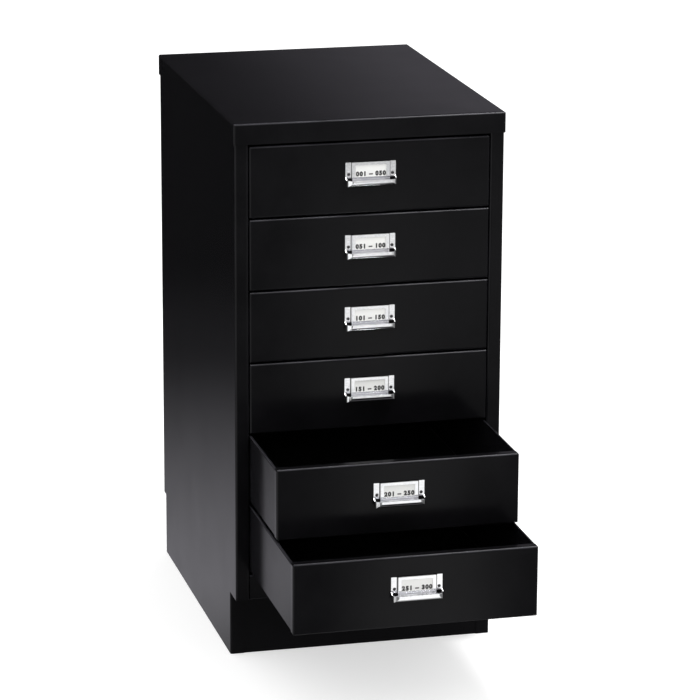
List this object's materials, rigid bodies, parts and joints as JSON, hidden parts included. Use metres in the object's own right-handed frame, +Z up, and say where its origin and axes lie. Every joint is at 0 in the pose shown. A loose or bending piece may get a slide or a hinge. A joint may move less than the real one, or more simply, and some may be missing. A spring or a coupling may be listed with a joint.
{
  "type": "steel multi-drawer cabinet",
  "caption": "Small free-standing steel cabinet for A4 papers, with sliding drawers that have card-holder pulls, on a recessed plinth.",
  "frame": {"origin": "on the floor, at the centre of the carcase's footprint", "axes": "+Z up, -Y out of the drawer fronts, +X to the right as seen from the front"},
  "size_m": [0.2816, 0.5823, 0.567],
  "materials": {
    "black_paint": "satin black powder coat",
    "bright_plate": "bright plated steel",
    "rivet_steel": "dark steel rivets",
    "paper": "matt white card"
  },
  "bodies": {
    "cabinet": {"top_cap": "black_paint", "left_side_panel": "black_paint", "right_side_panel": "black_paint", "back_panel": "black_paint", "base_pan": "black_paint", "top_rail": "black_paint", "plinth_frame": "black_paint", "left_front_post": "black_paint", "left_rear_post": "black_paint", "right_front_post": "black_paint", "right_rear_post": "black_paint", "left_runner_1": "black_paint", "left_runner_2": "black_paint", "left_runner_3": "black_paint", "left_runner_4": "black_paint", "left_runner_5": "black_paint", "left_runner_6": "black_paint", "right_runner_1": "black_paint", "right_runner_2": "black_paint", "right_runner_3": "black_paint", "right_runner_4": "black_paint", "right_runner_5": "black_paint", "right_runner_6": "black_paint"},
    "drawer_1": {"drawer_1_tray": "black_paint", "drawer_1_front": "black_paint", "drawer_1_pull": "bright_plate", "drawer_1_card": "paper", "drawer_1_rivets": "rivet_steel"},
    "drawer_2": {"drawer_2_tray": "black_paint", "drawer_2_front": "black_paint", "drawer_2_pull": "bright_plate", "drawer_2_card": "paper", "drawer_2_rivets": "rivet_steel"},
    "drawer_3": {"drawer_3_tray": "black_paint", "drawer_3_front": "black_paint", "drawer_3_pull": "bright_plate", "drawer_3_card": "paper", "drawer_3_rivets": "rivet_steel"},
    "drawer_4": {"drawer_4_tray": "black_paint", "drawer_4_front": "black_paint", "drawer_4_pull": "bright_plate", "drawer_4_card": "paper", "drawer_4_rivets": "rivet_steel"},
    "drawer_5": {"drawer_5_tray": "black_paint", "drawer_5_front": "black_paint", "drawer_5_pull": "bright_plate", "drawer_5_card": "paper", "drawer_5_rivets": "rivet_steel"},
    "drawer_6": {"drawer_6_tray": "black_paint", "drawer_6_front": "black_paint", "drawer_6_pull": "bright_plate", "drawer_6_card": "paper", "drawer_6_rivets": "rivet_steel"}
  },
  "joints": [
    {"name": "drawer_1_slide", "type": "slide", "parent": "cabinet", "child": "drawer_1", "axis": [0, -1, 0], "range_m": [0, 0.3]},
    {"name": "drawer_2_slide", "type": "slide", "parent": "cabinet", "child": "drawer_2", "axis": [0, -1, 0], "range_m": [0, 0.3]},
    {"name": "drawer_3_slide", "type": "slide", "parent": "cabinet", "child": "drawer_3", "axis": [0, -1, 0], "range_m": [0, 0.3]},
    {"name": "drawer_4_slide", "type": "slide", "parent": "cabinet", "child": "drawer_4", "axis": [0, -1, 0], "range_m": [0, 0.3]},
    {"name": "drawer_5_slide", "type": "slide", "parent": "cabinet", "child": "drawer_5", "axis": [0, -1, 0], "range_m": [-0.12, 0.18]},
    {"name": "drawer_6_slide", "type": "slide", "parent": "cabinet", "child": "drawer_6", "axis": [0, -1, 0], "range_m": [-0.19, 0.11]}
  ]
}
